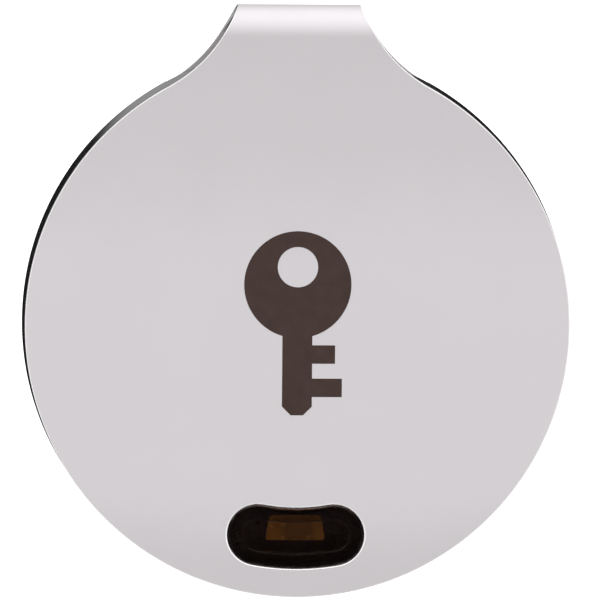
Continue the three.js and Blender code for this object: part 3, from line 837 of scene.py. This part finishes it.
SWITCH_RADIUS = 11.6
FILM_BULGE = 0.08
FILM_BULGE_RADIUS = 1.3
FILM_RINGS = (0.02, 0.2, 0.4, 0.6, 0.8, 1.0)
FILM_CORNERS = [(-1.7, -0.72, 0.12), (1.7, -0.72, 0.12), (1.47, 0.74, 0.22), (-1.47, 0.74, 0.22)]


def switch_film():
    """The switch's film: a tape with round corners, pushed up in the middle by the metal dome."""
    front, back = depths("switch_film")
    outline = filleted(FILM_CORNERS, 6)
    rings = []
    for depth, scales in ((back, FILM_RINGS), (front, FILM_RINGS[::-1])):
        for scale in scales:
            ring = []
            for x, v in outline:
                away = min(math.hypot(x, v) * scale / FILM_BULGE_RADIUS, 1)
                fall = FILM_BULGE * (0.5 - 0.5 * math.cos(math.pi * away))
                ring.append((x * scale, depth + fall, v * scale - SWITCH_RADIUS))
            rings.append(ring)
    film = make("domed_film", loft_mesh(rings), AMBER)
    even_shading(film)
    show(film, "tag", "amber_film", "switch_film")


switch_film()

# ---------------------------------------------------------------------------------------------
# Rear housing and battery door
# ---------------------------------------------------------------------------------------------


CARRIER_SEAT_RADIUS = 14.92
CARRIER_SEAT_DEPTH = 0.82
CAVITY_RADIUS = 14.3
CAVITY_DEPTH = 2.17
LEDGE_RADIUS = 13.6
DOOR_SEAT_RADIUS = 12.9
FLANGE_RADIUS = 11.85
FLANGE_THICKNESS = 0.35
RECESS_EDGE = 0.02
NOTCH_RADIUS = 12.28
NOTCH_INNER_RADIUS = 10.5
NOTCH_HALF_ANGLE = math.radians(9.5)
NOTCH_FRONT = 0.6  # how far a notch's cutter reaches in front of the flange's back
NOTCH_BACK = 0.04
CUTTER_EDGE = 0.01


def rear_housing():
    """The turned housing, with the recess for the tab and the notches that let the lugs through."""
    front, back = depths("rear_housing")
    flange_back = depths("door_seal")[0] - GAP
    profile = filleted([
        (DISC_RADIUS, front, 0.05),
        (CARRIER_SEAT_RADIUS, front, 0),
        (CARRIER_SEAT_RADIUS, CARRIER_SEAT_DEPTH, 0),
        (CAVITY_RADIUS, CARRIER_SEAT_DEPTH, 0),
        (CAVITY_RADIUS, CAVITY_DEPTH, 0),
        (LEDGE_RADIUS, CAVITY_DEPTH, 0),
        (LEDGE_RADIUS, flange_back - FLANGE_THICKNESS, 0),
        (FLANGE_RADIUS, flange_back - FLANGE_THICKNESS, 0.05),
        (FLANGE_RADIUS, flange_back, 0.05),
        (DOOR_SEAT_RADIUS, flange_back, 0.06),
        (DOOR_SEAT_RADIUS, back, 0.07),
        (HOUSING_RADIUS, back, 0.28),
    ], 6)
    housing = make("rear_shell", lathe_mesh(profile), GLOSS)
    recess_front = depths("tab_adhesive")[0] - GAP
    recess = plate_mesh([tab_cutter_outline()], recess_front, back + PAST, RECESS_EDGE, steps=1)
    boolean(housing, recess, "DIFFERENCE")
    for turn in LUG_ANGLES:
        middle = math.radians(turn - DOOR_TWIST)
        outline = sector(NOTCH_INNER_RADIUS, NOTCH_RADIUS, middle, NOTCH_HALF_ANGLE)
        notch_front, notch_back = flange_back - NOTCH_FRONT, flange_back + NOTCH_BACK
        notch = plate_mesh([outline], notch_front, notch_back, CUTTER_EDGE, steps=1)
        boolean(housing, notch, "DIFFERENCE")
    even_shading(housing)
    show(housing, "tag", "gloss_black", "rear_housing")


rear_housing()

DOOR_RADIUS = 12.75
SKIRT_INNER = 11.05
SKIRT_OUTER = 11.65
LID_FRONT_RADIUS = 10.9  # the lid's flat faces begin at these radii
LID_BACK_RADIUS = 12.4
LUG_RADIUS = 12.2
LUG_INNER_RADIUS = 11.4
LUG_HALF_ANGLE = math.radians(7)
LUG_THICKNESS = 0.33
LUG_EDGE = 0.05
GRIP_RADIUS = 9.4
GRIP_HALF_ANGLE = math.radians(24)
GRIP_HALF_WIDTH = 1.1
GRIP_DEPTH = 0.16
GRIP_LIP = 0.07
GRIP_CORE = 0.05  # half-width of the innermost ring of a grip's floor
GRIP_SIDE = 0.15  # width of the sloping side
GRIP_RISE = 0.35  # share of the depth that the floor has risen by at the side's foot
GRIP_FLOOR_STEPS = 8
GRIP_SIDE_STEPS = 6
ARROW_HALF_WIDTH = 0.2
ARROW_HEAD = 0.66
ARROW_TAIL_ANGLE = math.radians(13)
ARROW_NECK_ANGLE = math.radians(6)
ARROW_TIP_ANGLE = math.radians(12)
ENGRAVING = 0.1


def grip_cutter(middle, back):
    """A thumb grip: a curved scoop with a soft lip."""
    rings = []
    for i in range(GRIP_FLOOR_STEPS + 1):
        t = i / GRIP_FLOOR_STEPS
        half = GRIP_CORE + (GRIP_HALF_WIDTH - (GRIP_CORE + GRIP_SIDE)) * t
        rings.append((half, back - GRIP_DEPTH * (1 - GRIP_RISE * t ** 3)))
    for i in range(1, GRIP_SIDE_STEPS + 1):
        t = i / GRIP_SIDE_STEPS
        half = GRIP_HALF_WIDTH - GRIP_SIDE + GRIP_SIDE * t
        rings.append((half, back - GRIP_DEPTH * (1 - GRIP_RISE) * (1 - t)))
    rings.append((GRIP_HALF_WIDTH + GRIP_LIP, back + 0.02))
    rings.append((GRIP_HALF_WIDTH + GRIP_LIP, back + 0.4))
    slots = [arc_slot(GRIP_RADIUS, half, GRIP_HALF_ANGLE, middle) for half, _ in rings]
    return loft_mesh([[(x, depth, v) for x, v in slot] for slot, (_, depth) in zip(slots, rings)])


def arrow_outline(middle):
    """A bent arrow that shows which way the door turns to open."""
    tail, neck, tip = middle + ARROW_TAIL_ANGLE, middle - ARROW_NECK_ANGLE, middle - ARROW_TIP_ANGLE
    outer = arc(GRIP_RADIUS + ARROW_HALF_WIDTH, tail, neck, 24)
    head = [
        polar(GRIP_RADIUS + ARROW_HEAD, neck),
        polar(GRIP_RADIUS, tip),
        polar(GRIP_RADIUS - ARROW_HEAD, neck),
    ]
    return outer + head + arc(GRIP_RADIUS - ARROW_HALF_WIDTH, neck, tail, 24)


def battery_door():
    """The turned lid with its skirt, three lugs, two thumb grips and two engraved arrows."""
    skirt_front, back = depths("battery_door")
    wall = depths("door_pad")[1] + GAP
    profile = filleted([
        (LID_FRONT_RADIUS, wall, 0),
        (SKIRT_INNER, wall, 0.04),
        (SKIRT_INNER, skirt_front, 0.08),
        (SKIRT_OUTER, skirt_front, 0.08),
        (SKIRT_OUTER, wall, 0.04),
        (DOOR_RADIUS, wall, 0.05),
        (DOOR_RADIUS, back, 0.09),
        (LID_BACK_RADIUS, back, 0),
    ])
    door = make("bayonet_door", lathe_mesh(profile, closed=False), TEXTURED)
    for turn in LUG_ANGLES:
        outline = sector(LUG_INNER_RADIUS, LUG_RADIUS, math.radians(turn), LUG_HALF_ANGLE)
        lug = plate_mesh([outline], skirt_front, skirt_front + LUG_THICKNESS, LUG_EDGE, steps=3)
        boolean(door, lug, "UNION")
    for middle in (0, math.pi):
        boolean(door, grip_cutter(middle, back), "DIFFERENCE")
    for middle in (math.pi / 2, DOWN):
        arrow = plate_mesh([arrow_outline(middle)], back - ENGRAVING, back + 0.3, CUTTER_EDGE, steps=1)
        boolean(door, arrow, "DIFFERENCE")
    even_shading(door)
    show(door, "door", "gloss_black_door", "battery_door")


battery_door()

# ---------------------------------------------------------------------------------------------
# Studio: camera, light and floor
# ---------------------------------------------------------------------------------------------

CAMERA_DISTANCE = 1.5
CAMERA_AZIMUTH = -2.4
CAMERA_ELEVATION = 5.0
CAMERA_ROLL = 0.5
FRAME_WIDTH = 34.08 * MM
AIM = Vector((0.13, FRONT_Y, DISC_Z + 1.48)) * MM
CAMERA_SHADE_OUTER = 0.30  # the dim patch round the camera fades in between these angles, in radians
CAMERA_SHADE_INNER = 0.12
FLOOR_DROP = 22
FLOOR_SIZE = 12


def direction(azimuth, elevation):
    """The way from the object to a camera at this azimuth and elevation, in degrees."""
    a, e = math.radians(azimuth), math.radians(elevation)
    return Vector((math.sin(a) * math.cos(e), -math.cos(a) * math.cos(e), math.sin(e)))


def make_camera():
    data = bpy.data.cameras.new("camera")
    data.sensor_width = 36
    data.lens = data.sensor_width * CAMERA_DISTANCE / FRAME_WIDTH
    data.clip_start = 0.05
    data.clip_end = 100
    camera = bpy.data.objects.new("camera", data)
    bpy.context.scene.collection.objects.link(camera)
    towards = direction(CAMERA_AZIMUTH, CAMERA_ELEVATION)
    camera.location = AIM + towards * CAMERA_DISTANCE
    facing = towards.to_track_quat("Z", "Y")
    camera.rotation_mode = "QUATERNION"
    roll = Matrix.Rotation(math.radians(CAMERA_ROLL), 3, "Z").to_quaternion()
    camera.rotation_quaternion = facing @ roll
    bpy.context.scene.camera = camera


def softbox(name, azimuth, elevation, distance, width, height, radiance):
    """A rectangular lamp that faces the tag, as bright as this radiance says."""
    data = bpy.data.lights.new(name, "AREA")
    data.shape = "RECTANGLE"
    data.size = width
    data.size_y = height
    data.energy = radiance * math.pi * width * height
    lamp = bpy.data.objects.new(name, data)
    bpy.context.scene.collection.objects.link(lamp)
    towards = direction(azimuth, elevation)
    lamp.location = AIM + towards * distance
    lamp.rotation_mode = "QUATERNION"
    lamp.rotation_quaternion = towards.to_track_quat("Z", "Y")
    lamp.visible_camera = False


def studio_world():
    """Bright above and in front, dimmer behind, dark low down behind the tag and round the camera.

    The camera itself sees plain white.
    """
    world = bpy.data.worlds.new("studio")
    world.use_nodes = True
    tree = world.node_tree

    def spread(source, start, end, low, high):
        node = tree.nodes.new("ShaderNodeMapRange")
        node.interpolation_type = "SMOOTHSTEP"
        for socket, value in (("From Min", start), ("From Max", end), ("To Min", low), ("To Max", high)):
            node.inputs[socket].default_value = value
        tree.links.new(source, node.inputs["Value"])
        return node.outputs["Result"]

    def mixed(factor, first, second):
        node = tree.nodes.new("ShaderNodeMix")
        for socket, source in (("Factor", factor), ("A", first), ("B", second)):
            if isinstance(source, float):
                node.inputs[socket].default_value = source
            else:
                tree.links.new(source, node.inputs[socket])
        return node.outputs["Result"]

    def towards(way):
        node = tree.nodes.new("ShaderNodeVectorMath")
        node.operation = "DOT_PRODUCT"
        node.inputs[1].default_value = way
        tree.links.new(place.outputs["Generated"], node.inputs[0])
        return node.outputs["Value"]

    place = tree.nodes.new("ShaderNodeTexCoord")
    path = tree.nodes.new("ShaderNodeLightPath")
    height = towards((0, 0, 1))
    horizon = spread(towards((0, 1, 0)), -0.4, 0.25, 1.42, 0.50)
    lower = mixed(spread(height, -0.7, 0.0, 0.0, 1.0), 0.85, horizon)
    dome = mixed(spread(towards((0, -0.3, 0.95)), 0.3, 0.95, 0.0, 1.0), lower, 1.45)
    low_behind = spread(height, 0.06, 0.10, 1.0, 0.0)
    backdrop = spread(towards((0, 1, 0)), 0.85, 0.95, 0.0, 1.0)
    behind = tree.nodes.new("ShaderNodeMath")
    behind.operation = "MULTIPLY"
    tree.links.new(low_behind, behind.inputs[0])
    tree.links.new(backdrop, behind.inputs[1])
    to_camera = towards(direction(CAMERA_AZIMUTH, CAMERA_ELEVATION))
    hole = spread(to_camera, math.cos(CAMERA_SHADE_OUTER), math.cos(CAMERA_SHADE_INNER), 0.0, 1.0)
    light = mixed(hole, mixed(behind.outputs[0], dome, 0.015), 0.06)
    seen = mixed(path.outputs["Is Camera Ray"], light, 1.0)
    tree.links.new(seen, tree.nodes["Background"].inputs["Strength"])
    tree.nodes["Background"].inputs["Color"].default_value = (1, 1, 1, 1)
    bpy.context.scene.world = world


def make_floor():
    """A plain white floor below the hanging tag."""
    look = Look("floor_white")
    look.roughness(look.noise(0.01, 2), 0.8, 0.9)
    look.colour(look.noise(0.004, 2), (0.86, 0.86, 0.86), (0.88, 0.88, 0.88))
    look.shader.inputs["Emission Color"].default_value = (1, 1, 1, 1)
    look.shader.inputs["Emission Strength"].default_value = 0.5
    bm = bmesh.new()
    bmesh.ops.create_grid(bm, x_segments=4, y_segments=4, size=FLOOR_SIZE)
    mesh = bpy.data.meshes.new("floor")
    bm.to_mesh(mesh)
    bm.free()
    mesh.materials.append(look.material)
    floor = bpy.data.objects.new("floor", mesh)
    bpy.context.scene.collection.objects.link(floor)
    floor.location.z = (SHELL_LOW.z - FLOOR_DROP) * MM
    floor.visible_glossy = False


make_camera()
make_floor()
studio_world()
softbox("top_softbox", 5, 84, 0.5, 0.6, 0.5, 0.3)
softbox("back_softbox", 150, 45, 0.7, 0.3, 0.3, 1.2)
bpy.context.scene.view_settings.view_transform = "Standard"
